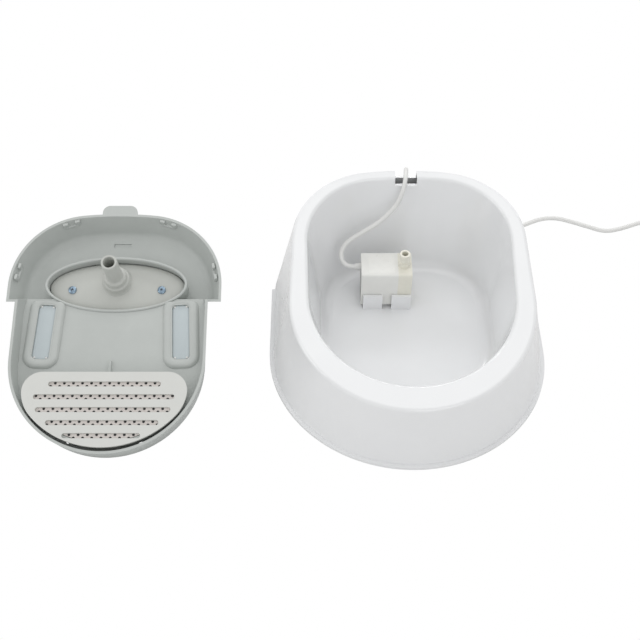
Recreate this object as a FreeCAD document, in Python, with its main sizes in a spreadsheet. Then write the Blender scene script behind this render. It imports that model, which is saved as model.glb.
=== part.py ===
import FreeCAD, Part
import math
import os
import re
import Sketcher

# Pet water fountain, shown opened for cleaning: a double-walled drinking bowl with its small
# immersion pump on the left of its own cord, and the top cover lying upside down beside it.
# Millimetres, +Z up, +Y away from the front of the bowl, origin on the table under the middle
# of the bowl's foot ring.

V = FreeCAD.Vector
doc = FreeCAD.newDocument("PetFountain")

# Driving dimensions
sheet = doc.addObject("Spreadsheet::Sheet", "Sizes")
SIZES = [
    # bowl, outer skirt
    ("base_half_width", 116, "half width of the skirt at the table"),
    ("base_front", 130, "reach of the skirt to the front"),
    ("base_rear", 130, "reach of the skirt to the rear"),
    ("base_corner", 66, "rear corner radius of the skirt at the table"),
    ("skirt_height", 112, "height over which the skirt's draft is set out"),
    ("top_half_width", 93.5, "half width of the skirt at that height"),
    ("top_front", 111.6, "reach to the front at that height"),
    ("top_rear", 111, "reach to the rear at that height"),
    ("top_corner", 70, "rear corner radius at that height"),
    ("rear_bow", 300, "radius of the bowed rear wall"),
    ("wall", 2.6, "wall of the bowl moulding"),
    ("rim_front_height", 64, "height of the rim at the front"),
    ("rim_slope", 8.8, "rise of the rim towards the rear, degrees"),
    ("rim_round", 3.4, "edge radius of the rim"),
    # bowl, basin
    ("floor_height", 8, "inside floor of the basin"),
    ("floor_half_width", 73, "half width of the basin floor"),
    ("floor_front", 86, "reach of the floor to the front"),
    ("floor_rear", 83, "reach of the floor to the rear"),
    ("floor_corner", 52, "rear corner radius of the floor"),
    ("floor_round", 11, "radius between floor and basin wall"),
    ("mouth_half_width", 90, "half width of the basin at the set-out height"),
    ("mouth_front", 106, "reach of the basin to the front there"),
    ("mouth_rear", 106.5, "reach of the basin to the rear there"),
    ("mouth_corner", 64, "rear corner radius of the basin there"),
    # bowl, details
    ("lip_width", 2.6, "how far the bottom lip stands out"),
    ("lip_thick", 2.6, "thickness of the bottom lip"),
    ("lip_gap", 1, "shadow gap under the bottom lip"),
    ("notch_width", 19, "cord notch in the rear rim"),
    ("notch_depth", 9, "depth of the cord notch"),
    ("seat_start", 61.5, "start of the rear seat for the cover"),
    ("seat_width", 3.6, "width of the rear seat"),
    ("seat_depth", 2.4, "depth of the rear seat"),
    ("lip_end", 58, "square rear end of the lip at either side"),
    # pump
    ("pump_length", 32, "length of the motor housing"),
    ("pump_depth", 28, "front to back"),
    ("pump_height", 39, "height of the housing"),
    ("pump_front", 33, "distance of its front face behind the bowl's middle"),
    ("pump_end", -7, "joint between housing and impeller cover"),
    ("pump_wall", 1.6, "wall of the motor housing"),
    ("pump_round", 2, "edge radius of the housing"),
    ("suction_height", 2.2, "height of the suction feet"),
    ("suction_radius", 4, "radius of the suction feet"),
    ("axis_height", 17, "rotor axis above the underside of the housing"),
    ("well_radius", 7.2, "bore of the rotor well"),
    ("well_wall", 1.2, "wall of the rotor well"),
    ("magnet_radius", 6.5, "rotor magnet"),
    ("magnet_length", 21, "rotor magnet"),
    ("shaft_radius", 1, "fixed ceramic shaft"),
    ("shaft_clearance", 0.05, "running clearance on the shaft"),
    ("end_play", 0.4, "axial play of the rotor"),
    ("blade_radius", 10.2, "impeller blades"),
    ("blade_height", 5, "impeller blades"),
    ("blade_thick", 1.2, "impeller blades"),
    ("chamber_radius", 11.4, "bore of the impeller chamber"),
    ("chamber_depth", 8.4, "depth of the impeller chamber"),
    ("chamber_cover_length", 12, "length of the impeller cover"),
    ("nozzle_radius", 4.4, "outlet nozzle"),
    ("nozzle_bore", 2.8, "radius of the outlet bore"),
    ("nozzle_top", 63, "height of the nozzle's mouth"),
    ("nozzle_setback", 13, "nozzle behind the front face"),
    ("inlet_radius", 6, "suction opening of the impeller cover"),
    ("seal_wire", 1.2, "section of the cover seal"),
    ("cradle_height", 17, "clip tabs that hold the pump"),
    ("cradle_thick", 2.4, "clip tabs that hold the pump"),
    ("cradle_tab_width", 17, "clip tabs that hold the pump"),
    ("cradle_clearance", 0.4, "gap between pump and clip tabs"),
    # cord
    ("cord_radius", 2, "round lead"),
    ("gland_length", 5, "strain relief on the pump"),
    ("gland_radius", 3.6, "strain relief on the pump"),
    ("gland_height", 30, "cord outlet above the housing's underside"),
    ("gland_setback", 19, "cord outlet behind the front face"),
    ("coil_radius", 24, "middle of the coiled lead"),
    ("coil_width", 13, "coiled lead, across its turns"),
    ("coil_height", 8.4, "coiled lead, two layers high"),
    ("coil_x", 277, "middle of the coil"),
    ("coil_y", 122, "middle of the coil"),
    ("tie_width", 6, "tie round the coil"),
    ("tie_thick", 0.8, "tie round the coil"),
    ("plug_length", 27, "moulded plug"),
    ("plug_width", 21, "moulded plug"),
    ("plug_height", 12, "moulded plug"),
    ("pin_length", 16, "plug pins"),
    ("pin_width", 6.3, "plug pins"),
    ("pin_thick", 1.5, "plug pins"),
    ("pin_pitch", 12.7, "distance between the plug pins"),
    ("relief_length", 16, "strain relief of the plug"),
    ("relief_radius", 3.4, "strain relief of the plug"),
    # cover, set out on its own rim plane
    ("ring_half_width", 80, "half width of the ring at its free edge"),
    ("ring_front", 96.6, "reach of the ring to the front there"),
    ("ring_draft", 2.6, "how much the ring narrows to the pool rim"),
    ("ring_drop", 10.3, "free edge of the ring under the rim plane"),
    ("pool_rim", 12.5, "edge of the drinking pool over the rim plane"),
    ("deck_level", 7.2, "bottom of the drinking pool over the rim plane"),
    ("cover_wall", 2.2, "wall of the cover moulding"),
    ("hood_half_width", 90, "half width of the rear skirt"),
    ("hood_rear", 118, "reach of the rear skirt"),
    ("hood_corner", 66, "corner radius of the rear skirt"),
    ("hood_height", 22, "height of the hood's roof"),
    ("hood_draft", 9, "how much the hood narrows to its roof"),
    ("hood_start", 36, "front end of the side wings"),
    ("hood_lean", 23, "lean of the hood's front, degrees"),
    ("hood_drop", 2, "free edge of the skirt under the rim plane"),
    ("hood_round", 9, "edge radius of the hood's roof"),
    ("tab_width", 30, "finger tab at the rear"),
    ("tab_reach", 8, "finger tab at the rear"),
    ("dish_centre", 57, "middle of the top dish behind the middle"),
    ("dish_half_width", 66, "top dish at its brim"),
    ("dish_half_depth", 37, "top dish at its brim"),
    ("dish_rise", 45.3, "brim of the dish above the rim plane"),
    ("dish_flare", 13, "how much the dish narrows to its floor"),
    ("riser_centre", 54.5, "middle of the riser plate behind the middle"),
    ("riser_plate_half_width", 57.5, "elliptical riser plate"),
    ("riser_plate_half_depth", 22.5, "elliptical riser plate"),
    ("riser_plate_level", 11.5, "underside of the plate above the rim plane"),
    ("riser_plate_thick", 3, "elliptical riser plate"),
    ("riser_gap", 0.6, "gap round the riser plate"),
    ("riser_lip", 1.8, "raised lip round the riser plate"),
    ("gasket_thick", 1.2, "gasket over the riser plate"),
    ("riser_radius", 6.75, "riser tube"),
    ("riser_bore", 4.7, "radius of the bore of the riser tube"),
    ("riser_length", 44, "riser tube below its plate"),
    ("collar_radius", 9.5, "collar at the root of the riser tube"),
    ("collar_length", 16, "collar at the root of the riser tube"),
    ("screw_offset", 38, "riser plate screws from the middle"),
    ("riser_setback", 4, "riser tube behind the plate's middle"),
    ("screw_setback", 3, "riser plate screws before the plate's middle"),
    ("screw_radius", 1.5, "riser plate screws"),
    ("screw_head", 3, "head radius of the riser plate screws"),
    ("screw_length", 6, "riser plate screws"),
    ("window_offset", 57, "middle of each window from the middle line"),
    ("window_middle", 11, "middle of each window behind the middle"),
    ("window_length", 48, "level window"),
    ("window_width", 14, "level window"),
    ("window_thick", 1.6, "level window"),
    ("window_splay", 3, "turn of each window, degrees"),
    ("window_frame", 2.4, "raised frame round each window"),
    # filter
    ("filter_half_width", 66.5, "slotted plate"),
    ("filter_front", 91.5, "front of the slotted plate"),
    ("filter_rear", 29, "rear edge of the slotted plate"),
    ("filter_bow", 78, "radius of its front edge"),
    ("filter_side", 33, "radius of its sides"),
    ("filter_corner", 16, "radius of its rear corners"),
    ("filter_level", 11.5, "underside of the slotted plate below the rim plane"),
    ("filter_ledge", 2, "how far the slotted plate laps over its well"),
    ("filter_plate_thick", 2.2, "slotted plate"),
    ("slot_height", 4.2, "slots of the plate"),
    ("slot_pitch", 10.7, "distance between the slots"),
    ("slot_first", 39.3, "first slot in front of the middle"),
    ("screen_thick", 1, "perforated screen"),
    ("screen_pitch", 7.3, "distance between perforations"),
    ("screen_hole", 1.2, "radius of the perforations"),
    ("media_thick", 9, "filter pad"),
    # how the cover lies beside the bowl
    ("cover_apart", 248, "middle line of the cover from that of the bowl"),
    ("cover_front", 120.5, "front of the lying cover before the bowl's middle"),
]
for row, (alias, value, note) in enumerate(SIZES, start=1):
    sheet.set("A%d" % row, note)
    sheet.set("B%d" % row, str(value))
    sheet.setAlias("B%d" % row, alias)
doc.recompute()


ALIASES = {alias for alias, value, note in SIZES}
PLACES = {"x": 0, "y": 1, "z": 2}


def rule(text):
    """An expression in which each alias is written with the sheet's name."""
    return re.sub(r"[a-z_]+", lambda found: "Sizes." * (found.group() in ALIASES) + found.group(), str(text))


def value(text):
    """The number that a rule has now."""
    return float(sheet.evalExpression(rule(text)))


def bind(obj, **rules):
    for name, text in rules.items():
        obj.setExpression(name, rule(text))
    return obj


def put(obj, x=0, y=0, z=0):
    """Place an object by rules for its three coordinates."""
    for axis, text in zip("xyz", (x, y, z)):
        obj.setExpression("Placement.Base." + axis, rule(text))
    return obj


def turn(obj, axis, degrees, at):
    """Place an object turned about an axis through its own origin."""
    obj.Placement = FreeCAD.Placement(at, FreeCAD.Rotation(axis, degrees))
    return obj


def plan(name, half_width, front, rear, corner, level):
    """Outline seen from above: half round front, straight sides, round corners, bowed rear."""
    sketch = doc.addObject("Sketcher::SketchObject", name)
    w, f, r, c, b = [value(text) for text in (half_width, front, rear, corner, "rear_bow")]
    side_y = r - b + math.sqrt((b - c) ** 2 - (w - c) ** 2)
    swing = math.atan2(side_y - r + b, w - c)

    def arc(x, y, radius, start, end):
        return Part.ArcOfCircle(Part.Circle(V(x, y, 0), V(0, 0, 1), radius), start, end)

    def side(x, y1, y2):
        return Part.LineSegment(V(x, y1, 0), V(x, y2, 0))

    sketch.addGeometry([
        arc(0, w - f, w, math.pi, 2 * math.pi),
        side(w, w - f, side_y),
        arc(w - c, side_y, c, 0, swing),
        arc(0, r - b, b, swing, math.pi - swing),
        arc(c - w, side_y, c, math.pi - swing, math.pi),
        side(-w, side_y, w - f),
    ], False)
    for first in range(6):
        sketch.addConstraint(Sketcher.Constraint("Tangent", first, 2, (first + 1) % 6, 1))
    for rest in (("Vertical", 1), ("Vertical", 5), ("Equal", 2, 4),
                 ("PointOnObject", 0, 3, -2), ("PointOnObject", 3, 3, -2)):
        sketch.addConstraint(Sketcher.Constraint(*rest))
    for dimension, text in (
            (("Radius", 0, w), half_width),
            (("Radius", 2, c), corner),
            (("Radius", 3, b), "rear_bow"),
            (("DistanceY", 0, 3, -1, 1, f - w), "%s - (%s)" % (front, half_width)),
            (("DistanceY", 3, 3, -1, 1, b - r), "rear_bow - (%s)" % rear)):
        index = sketch.addConstraint(Sketcher.Constraint(*dimension))
        sketch.setExpression("Constraints[%d]" % index, rule(text))
    return put(sketch, z=level)


def shield(name, grow, level):
    """Outline of the filter: bowed front, round sides, straight rear with round corners."""
    sketch = doc.addObject("Sketcher::SketchObject", name)
    w, f, r = [value(text) for text in ("filter_half_width + " + grow, "filter_front + " + grow,
                                        "-filter_rear + " + grow)]
    bow, side_r, corner = [value(text) for text in ("filter_bow", "filter_side", "filter_corner")]
    side_y = bow - f - math.sqrt((bow - side_r) ** 2 - (w - side_r) ** 2)
    swing = math.atan2(bow - f - side_y, w - side_r)
    lean = math.asin((r - corner - side_y) / (side_r - corner))
    corner_x = w - side_r + (side_r - corner) * math.cos(lean)

    def arc(x, y, radius, start, end):
        return Part.ArcOfCircle(Part.Circle(V(x, y, 0), V(0, 0, 1), radius), start, end)

    sketch.addGeometry([
        arc(0, bow - f, bow, math.pi + swing, 2 * math.pi - swing),
        arc(w - side_r, side_y, side_r, -swing, lean),
        arc(corner_x, r - corner, corner, lean, math.pi / 2),
        Part.LineSegment(V(corner_x, r, 0), V(-corner_x, r, 0)),
        arc(-corner_x, r - corner, corner, math.pi / 2, math.pi - lean),
        arc(side_r - w, side_y, side_r, math.pi - lean, math.pi + swing),
    ], False)
    for first in range(6):
        sketch.addConstraint(Sketcher.Constraint("Tangent", first, 2, (first + 1) % 6, 1))
    for rest in (("Equal", 1, 5), ("Equal", 2, 4), ("PointOnObject", 0, 3, -2), ("Horizontal", 3)):
        sketch.addConstraint(Sketcher.Constraint(*rest))
    for dimension, text in (
            (("Radius", 0, bow), "filter_bow"),
            (("Radius", 1, side_r), "filter_side"),
            (("Radius", 2, corner), "filter_corner"),
            (("DistanceY", -1, 1, 0, 3, bow - f), "filter_bow - filter_front - (%s)" % grow),
            (("DistanceX", -1, 1, 1, 3, w - side_r), "filter_half_width + %s - filter_side" % grow),
            (("DistanceX", 5, 3, -1, 1, w - side_r), "filter_half_width + %s - filter_side" % grow),
            (("DistanceY", 3, 1, -1, 1, -r), "filter_rear - (%s)" % grow)):
        index = sketch.addConstraint(Sketcher.Constraint(*dimension))
        sketch.setExpression("Constraints[%d]" % index, rule(text))
    return put(sketch, z=level)


def oval(name, half_width, half_depth, middle, level):
    ellipse = bind(doc.addObject("Part::Ellipse", name), MajorRadius=half_width, MinorRadius=half_depth)
    return put(ellipse, y=middle, z=level)


def loft(name, *sections):
    solid = doc.addObject("Part::Loft", name)
    solid.Sections = list(sections)
    solid.Solid = True
    solid.Ruled = True
    return solid


def extrude(name, outline, height):
    solid = doc.addObject("Part::Extrusion", name)
    solid.Base = outline
    solid.DirMode = "Custom"
    solid.Dir = V(0, 0, 1)
    solid.Solid = True
    return bind(solid, LengthFwd=height)


def box(name, x, y, z, length, width, height):
    solid = bind(doc.addObject("Part::Box", name), Length=length, Width=width, Height=height)
    return put(solid, x, y, z)


def rod(name, axis, x, y, z, radius, length):
    """Cylinder that starts at a point and runs along +X, +Y or +Z."""
    solid = bind(doc.addObject("Part::Cylinder", name), Radius=radius, Height=length)
    turns = {"x": (V(0, 1, 0), 90), "y": (V(1, 0, 0), -90), "z": (V(0, 0, 1), 0)}
    solid.Placement.Rotation = FreeCAD.Rotation(*turns[axis])
    return put(solid, x, y, z)


def cut(name, base, *tools):
    result = doc.addObject("Part::Cut", name)
    result.Base = base
    result.Tool = tools[0] if len(tools) == 1 else join(name + "Tools", *tools)
    return result


def join(name, *parts):
    result = doc.addObject("Part::MultiFuse", name)
    result.Shapes = list(parts)
    return result


def common(name, *parts):
    result = doc.addObject("Part::MultiCommon", name)
    result.Shapes = list(parts)
    return result


def group(name, *parts):
    """Separate solids of one kind kept together."""
    result = doc.addObject("Part::Compound", name)
    result.Links = list(parts)
    return result


def round_edges(name, base, radius, wanted):
    """Fillet the edges of an object that a test picks."""
    doc.recompute()
    result = doc.addObject("Part::Fillet", name)
    result.Base = base
    amount = value(radius)
    picked = [number for number, edge in enumerate(base.Shape.Edges, start=1) if wanted(edge)]
    result.Edges = [(number, amount, amount) for number in picked]
    return result


def along(axis):
    """Test for straight edges along one axis."""
    def wanted(edge):
        if edge.Curve.TypeId != "Part::GeomLine":
            return False
        direction = edge.tangentAt(edge.FirstParameter)
        return abs(abs(direction[PLACES[axis]]) - 1) < 1e-6
    return wanted


def on_plane(point, normal, near=0.02):
    """Test for edges that lie in a plane."""
    def wanted(edge):
        return all(abs((spot - point).dot(normal)) < near for spot in edge.discretize(5))
    return wanted


nodes = {}


def piece(label, obj, placement=None):
    """Name a finished sub-part, and lay it where it belongs."""
    if placement is not None:
        obj.Placement = placement
    obj.Label = label
    nodes[label] = obj
    return obj


# Rim plane of the bowl
slope = value("rim_slope")
rise = math.tan(math.radians(slope))
rim_reach = value("base_front - (base_front - top_front) * rim_front_height / skirt_height")


def rim_level(y):
    return value("rim_front_height") + (y + rim_reach) * rise


rim_normal = V(0, -math.sin(math.radians(slope)), math.cos(math.radians(slope)))
REACH = 400


def above_rim(name, lift):
    """Big block whose underside is the rim plane, moved up by lift."""
    block = bind(doc.addObject("Part::Box", name), Length=REACH, Width=REACH, Height=REACH)
    corner = V(-REACH / 2, -REACH / 2, rim_level(-REACH / 2)) + rim_normal * lift
    return turn(block, V(1, 0, 0), slope, corner)


def skirt_loft(name, inset):
    low = plan(name + "Low", "base_half_width - " + inset, "base_front - " + inset,
               "base_rear - " + inset, "base_corner - " + inset, 0)
    high = plan(name + "High", "top_half_width - " + inset, "top_front - " + inset,
                "top_rear - " + inset, "top_corner - " + inset, "skirt_height")
    return loft(name, low, high)


def basin_loft(name, grow):
    low = plan(name + "Low", "floor_half_width + " + grow, "floor_front + " + grow,
               "floor_rear + " + grow, "floor_corner + " + grow, "floor_height - " + grow)
    high = plan(name + "High", "mouth_half_width + " + grow, "mouth_front + " + grow,
                "mouth_rear + " + grow, "mouth_corner + " + grow, "skirt_height")
    solid = loft(name, low, high)
    base = V(0, 0, value("floor_height - " + grow))
    return round_edges(name + "Round", solid, "floor_round + " + grow, on_plane(base, V(0, 0, 1)))


# Bowl: skirt and basin are one moulding, hollow between its two walls and open below
skirt = cut("SkirtBlock", skirt_loft("Skirt", "0"), above_rim("OverRim", 0))
bowl_block = cut("BowlBlock", skirt, basin_loft("Basin", "0"))
rim_point = V(0, 0, rim_level(0))
bowl_rim = round_edges("BowlRim", bowl_block, "rim_round", on_plane(rim_point, rim_normal))
inside_skirt = cut("InsideSkirt", skirt_loft("SkirtInner", "wall"), above_rim("UnderRim", -value("wall")))
hollow = cut("Hollow", inside_skirt, basin_loft("BasinOuter", "wall"))
bowl_shell = cut("BowlShell", bowl_rim, hollow)


def skirt_band(name, reach, bottom, top):
    """Band round the foot of the skirt that stands out by reach."""
    outline = plan(name + "Plan", "base_half_width + " + reach, "base_front + " + reach,
                   "base_rear + " + reach, "base_corner + " + reach, bottom)
    return extrude(name, outline, "%s - (%s)" % (top, bottom))


lip = cut("Lip", skirt_band("LipBand", "lip_width", "lip_gap", "lip_gap + lip_thick"),
          skirt_loft("LipInside", "wall / 2"), box("LipEnd", -REACH / 2, "lip_end", 0, REACH, REACH, REACH))

# Pump cradle, on the basin's floor: two clip tabs in front of the pump, two low stops behind it
pump_left = "(pump_end - pump_length)"
pump_base = "(floor_height + suction_height)"
pump_top = "(floor_height + suction_height + pump_height)"
pump_rear = "(pump_front + pump_depth)"
tab_y = "pump_front - cradle_clearance - cradle_thick"
tabs = []
for number, start in enumerate((pump_left + " + 2", "chamber_cover_length + pump_end - cradle_tab_width")):
    tabs.append(box("ClipTab%d" % number, start, tab_y, "floor_height",
                    "cradle_tab_width", "cradle_thick", "cradle_height"))
    tabs.append(box("RearStop%d" % number, start, pump_rear + " + cradle_clearance", "floor_height",
                    "cradle_tab_width", "cradle_thick", "cradle_height / 2"))
seat_ring = cut("SeatRing", box("SeatRear", -REACH / 2, "seat_start", 0, REACH, REACH, REACH),
                skirt_loft("SeatCore", "seat_width"))
rear_seat = common("RearSeat", seat_ring, above_rim("OverSeat", -value("seat_depth")))
notch = box("Notch", "-notch_width / 2", "floor_rear", rim_level(value("top_rear")) - value("notch_depth"),
            "notch_width", "base_rear - floor_rear", REACH)
piece("bowl", cut("Bowl", join("BowlWhole", bowl_shell, lip), rear_seat, notch))
piece("pump_cradle", group("PumpCradle", *tabs))

# Pump, a small immersion pump on four suction feet, its rotor lying along X
axis_y = "(pump_front + pump_depth / 2)"
axis_z = "(floor_height + suction_height + axis_height)"
well_length = "(magnet_length + 2 * end_play + well_wall)"
well_end = "(pump_end - magnet_length - 2 * end_play)"


def rounded_case(name, x, length, radius):
    block = box(name + "Block", x, "pump_front", pump_base, length, "pump_depth", "pump_height")
    return round_edges(name + "Case", block, radius, along("x"))


housing_case = rounded_case("Housing", pump_left, "pump_length", "pump_round")
housing_room = box("HousingRoom", pump_left, "pump_front + pump_wall", pump_base + " + pump_wall",
                   "pump_length - pump_wall", "pump_depth - 2 * pump_wall", "pump_height - 2 * pump_wall")
well = rod("Well", "x", "pump_end - " + well_length, axis_y, axis_z, "well_radius + well_wall", well_length)
well_bore = rod("WellBore", "x", well_end, axis_y, axis_z, "well_radius", well_length)
seal_seat = "(chamber_radius + seal_wire)"
groove = cut("SealGroove",
             rod("GrooveOuter", "x", "pump_end - seal_wire", axis_y, axis_z,
                 seal_seat + " + seal_wire / 2", "2 * seal_wire"),
             rod("GrooveInner", "x", "pump_end - 2 * seal_wire", axis_y, axis_z,
                 seal_seat + " - seal_wire / 2", "4 * seal_wire"))
housing_shell = cut("HousingShell", housing_case, housing_room)
piece("pump_housing", cut("PumpHousing", join("HousingWhole", housing_shell, well), well_bore, groove))

core_gap = "0.1 * pump_wall"
core_low = pump_base + " + pump_wall"
core_high = axis_z + " + well_radius + 2 * well_wall + pump_wall"
core_block = box("CoreBlock", pump_left + " + 2 * pump_wall", "pump_front + 2 * pump_wall", core_low,
                 "pump_length - 4 * pump_wall", "pump_depth - 4 * pump_wall",
                 "%s - (%s)" % (core_high, core_low))
core_hole = rod("CoreHole", "x", pump_left, axis_y, axis_z, "well_radius + well_wall + " + core_gap,
                "pump_length")
piece("stator_core", cut("StatorCore", core_block, core_hole))
coil_block = box("CoilBlock", pump_left + " + 3 * pump_wall", "pump_front + 3 * pump_wall", core_high,
                 "pump_length - 6 * pump_wall", "pump_depth - 6 * pump_wall",
                 "%s - pump_wall - (%s)" % (pump_top, core_high))
piece("stator_coil", round_edges("StatorCoil", coil_block, "pump_wall", along("y")))
gland_y = "(pump_front + gland_setback)"
gland_z = "(floor_height + suction_height + gland_height)"
cap_block = box("CapBlock", pump_left, "pump_front + pump_wall", pump_base + " + pump_wall", "pump_wall",
                "pump_depth - 2 * pump_wall", "pump_height - 2 * pump_wall")
cap_hole = rod("CapHole", "x", pump_left + " - pump_wall", gland_y, gland_z, "gland_radius", "4 * pump_wall")
piece("pump_end_cap", cut("EndCap", cap_block, cap_hole))
gland = bind(doc.addObject("Part::Cone", "Gland"), Radius1="cord_radius + 0.25 * gland_radius",
             Radius2="gland_radius", Height="gland_length")
gland.Placement.Rotation = FreeCAD.Rotation(V(0, 1, 0), 90)
put(gland, pump_left + " - gland_length", gland_y, gland_z)
gland_root = rod("GlandRoot", "x", pump_left, gland_y, gland_z, "gland_radius", "pump_wall")
piece("cord_gland", join("CordGland", gland, gland_root))

shaft_end = "pump_end + chamber_depth"
piece("rotor_shaft", rod("RotorShaft", "x", well_end, axis_y, axis_z, "shaft_radius",
                         "%s - %s" % (shaft_end, well_end)))
rotor_bore = rod("RotorBore", "x", well_end, axis_y, axis_z, "shaft_radius + shaft_clearance", "2 * pump_length")
magnet_start = "pump_end - magnet_length - end_play"
piece("rotor_magnet", cut("RotorMagnet", rod("MagnetBlock", "x", magnet_start, axis_y, axis_z,
                                             "magnet_radius", "magnet_length"), rotor_bore))
hub_start = "pump_end - end_play"
hub = rod("ImpellerHub", "x", hub_start, axis_y, axis_z, "3 * shaft_radius",
          "blade_height + blade_thick + end_play")
disc = rod("ImpellerDisc", "x", hub_start, axis_y, axis_z, "magnet_radius", "blade_thick")
BLADES = 6
blades = []
for number in range(BLADES):
    blade = bind(doc.addObject("Part::Box", "Blade%d" % number), Length="blade_height",
                 Width="blade_radius - 2 * shaft_radius", Height="blade_thick")
    angle = 360 * number / BLADES
    start = V(0, value("2 * shaft_radius"), -value("blade_thick") / 2)
    middle = V(value(hub_start + " + blade_thick"), value(axis_y), value(axis_z))
    spin = FreeCAD.Rotation(V(1, 0, 0), angle)
    blade.Placement = FreeCAD.Placement(middle + spin.multVec(start), spin)
    blades.append(blade)
piece("impeller", cut("Impeller", join("ImpellerWhole", hub, disc, *blades), rotor_bore))

seal = bind(doc.addObject("Part::Torus", "CoverSeal"), Radius1=seal_seat, Radius2="seal_wire / 2")
seal.Placement.Rotation = FreeCAD.Rotation(V(0, 1, 0), 90)
piece("cover_seal", put(seal, "pump_end - seal_wire / 2", axis_y, axis_z))

feet = []
for x in (pump_left + " + 1.5 * suction_radius", "pump_end - 1.5 * suction_radius"):
    for y in ("pump_front + 1.5 * suction_radius", pump_rear + " - 1.5 * suction_radius"):
        foot = bind(doc.addObject("Part::Cone", "SuctionFoot"), Radius1="suction_radius",
                    Radius2="0.6 * suction_radius", Height="suction_height")
        feet.append(put(foot, x, y, "floor_height"))
piece("suction_feet", group("SuctionFeet", *feet))
label_edge = "(2 * pump_wall)"
piece("blank_label", box("BlankLabel", pump_left + " + 2 * " + label_edge, "pump_front + " + label_edge,
                         pump_top, "pump_length - 3 * " + label_edge, "pump_depth - 2 * " + label_edge,
                         "0.1 * pump_wall"))

chamber_case = rounded_case("Chamber", "pump_end", "chamber_cover_length", "pump_round")
nozzle_y = "(pump_front + nozzle_setback)"
nozzle_x = "(pump_end + 0.45 * chamber_cover_length)"
nozzle = rod("Nozzle", "z", nozzle_x, nozzle_y, pump_top + " - pump_wall", "nozzle_radius",
             "nozzle_top + pump_wall - " + pump_top)
nozzle_collar = rod("NozzleCollar", "z", nozzle_x, nozzle_y, pump_top + " - pump_wall",
                    "nozzle_radius + pump_wall / 2", "4 * pump_wall")
chamber = rod("ChamberRoom", "x", "pump_end - pump_wall", axis_y, axis_z, "chamber_radius",
              "chamber_depth + pump_wall")
outlet = rod("Outlet", "z", nozzle_x, nozzle_y, axis_z, "nozzle_bore", "nozzle_top")
INLETS = 5
inlets = []
for number in range(INLETS):
    offset = number - (INLETS - 1) / 2
    reach = "inlet_radius * %g" % math.sqrt(1 - (offset / INLETS * 2) ** 2)
    inlets.append(box("Inlet%d" % number, "pump_end + chamber_depth - pump_wall",
                      "%s + %g * inlet_radius / 2.5 - pump_wall / 2" % (axis_y, offset),
                      "%s - %s" % (axis_z, reach), "chamber_cover_length", "pump_wall", "2 * " + reach))
piece("chamber_cover", cut("ChamberCover", join("ChamberWhole", chamber_case, nozzle, nozzle_collar),
                           chamber, outlet, *inlets))

# Lead, from the pump over the rear notch, down behind the bowl and away to the right
FLOOR = value("cord_radius")
gland_mouth = V(value(pump_left + " - gland_length"), value(gland_y), value(gland_z))
ROUTE = [
    gland_mouth,
    V(-50, 52, 40.2), V(-56, 56, 43), V(-56.5, 65, 47.5), V(-50, 72, 52), V(-38, 77, 57.5), V(-25, 82, 63),
    V(-14, 87, 71), V(-6.5, 91, 80), V(-2.5, 95, 90.5), V(-0.5, 103, 97), V(0.5, 115, 97), V(1.5, 124.5, 89.5),
    V(2.5, 129.5, 70), V(3.5, 134, 47), V(6, 139, 26), V(13, 145, 9), V(28, 150, FLOOR), V(48, 149, FLOOR),
    V(69, 141, FLOOR), V(90, 133.5, FLOOR), V(108, 135, FLOOR), V(124, 143.5, FLOOR), V(138, 150.5, FLOOR),
    V(153, 152, FLOOR), V(168, 146.5, FLOOR), V(184, 139, FLOOR), V(198, 133, FLOOR), V(214, 137, FLOOR),
    V(232, 145, FLOOR), V(252, 147.5, FLOOR),
    V(value("coil_x") - 5, value("coil_y + coil_radius") + 1, FLOOR),
]
ARC_SHARE = 0.45


def lead(name, points):
    """Round lead along straight runs joined by tangent arcs."""
    edges = []
    radii = []
    start = points[0]
    for before, corner, after in zip(points, points[1:], points[2:]):
        back = before - corner
        on = after - corner
        reach = ARC_SHARE * min(back.Length, on.Length)
        half_turn = (math.pi - back.getAngle(on)) / 2
        radii.append(reach / math.tan(half_turn))
        back.normalize()
        on.normalize()
        enter = corner + back * reach
        leave = corner + on * reach
        middle_way = back + on
        middle_way.normalize()
        depth = radii[-1] / math.cos(half_turn) - radii[-1]
        edges.append(Part.LineSegment(start, enter).toShape())
        edges.append(Part.Arc(enter, corner + middle_way * depth, leave).toShape())
        start = leave
    edges.append(Part.LineSegment(start, points[-1]).toShape())
    path = Part.Wire(edges)
    section = Part.Wire(Part.makeCircle(value("cord_radius"), points[0], points[1] - points[0]))
    solid = doc.addObject("Part::Feature", name)
    solid.Shape = path.makePipeShell([section], True, False)
    expected = math.pi * value("cord_radius") ** 2 * path.Length
    print(name, "length %.0f mm, volume against section times length %.4f, radii %s" % (
        path.Length, solid.Shape.Volume / expected, " ".join("%.0f" % radius for radius in radii)))
    return solid


piece("power_lead", lead("PowerLead", ROUTE))
coil_ring = cut("CoilRing",
                rod("CoilOuter", "z", "coil_x", "coil_y", 0, "coil_radius + coil_width / 2", "coil_height"),
                rod("CoilInner", "z", "coil_x", "coil_y", "-coil_height", "coil_radius - coil_width / 2",
                    "3 * coil_height"))
piece("lead_coil", round_edges("LeadCoil", coil_ring, "0.9 * cord_radius",
                               lambda edge: edge.Curve.TypeId == "Part::GeomCircle"))
tie_gap = "(0.1 * tie_thick)"
tie_y = "coil_y - coil_radius - coil_width / 2"
tie_outer = box("TieOuter", "coil_x - tie_width / 2", tie_y + " - tie_thick - " + tie_gap, 0, "tie_width",
                "coil_width + 2 * tie_thick + 2 * " + tie_gap, "coil_height + tie_thick + " + tie_gap)
tie_inner = box("TieInner", "coil_x - tie_width", tie_y + " - " + tie_gap, "-tie_thick", "2 * tie_width",
                "coil_width + 2 * " + tie_gap, "coil_height + tie_thick + " + tie_gap)
piece("coil_tie", cut("CoilTie", tie_outer, tie_inner))

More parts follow.
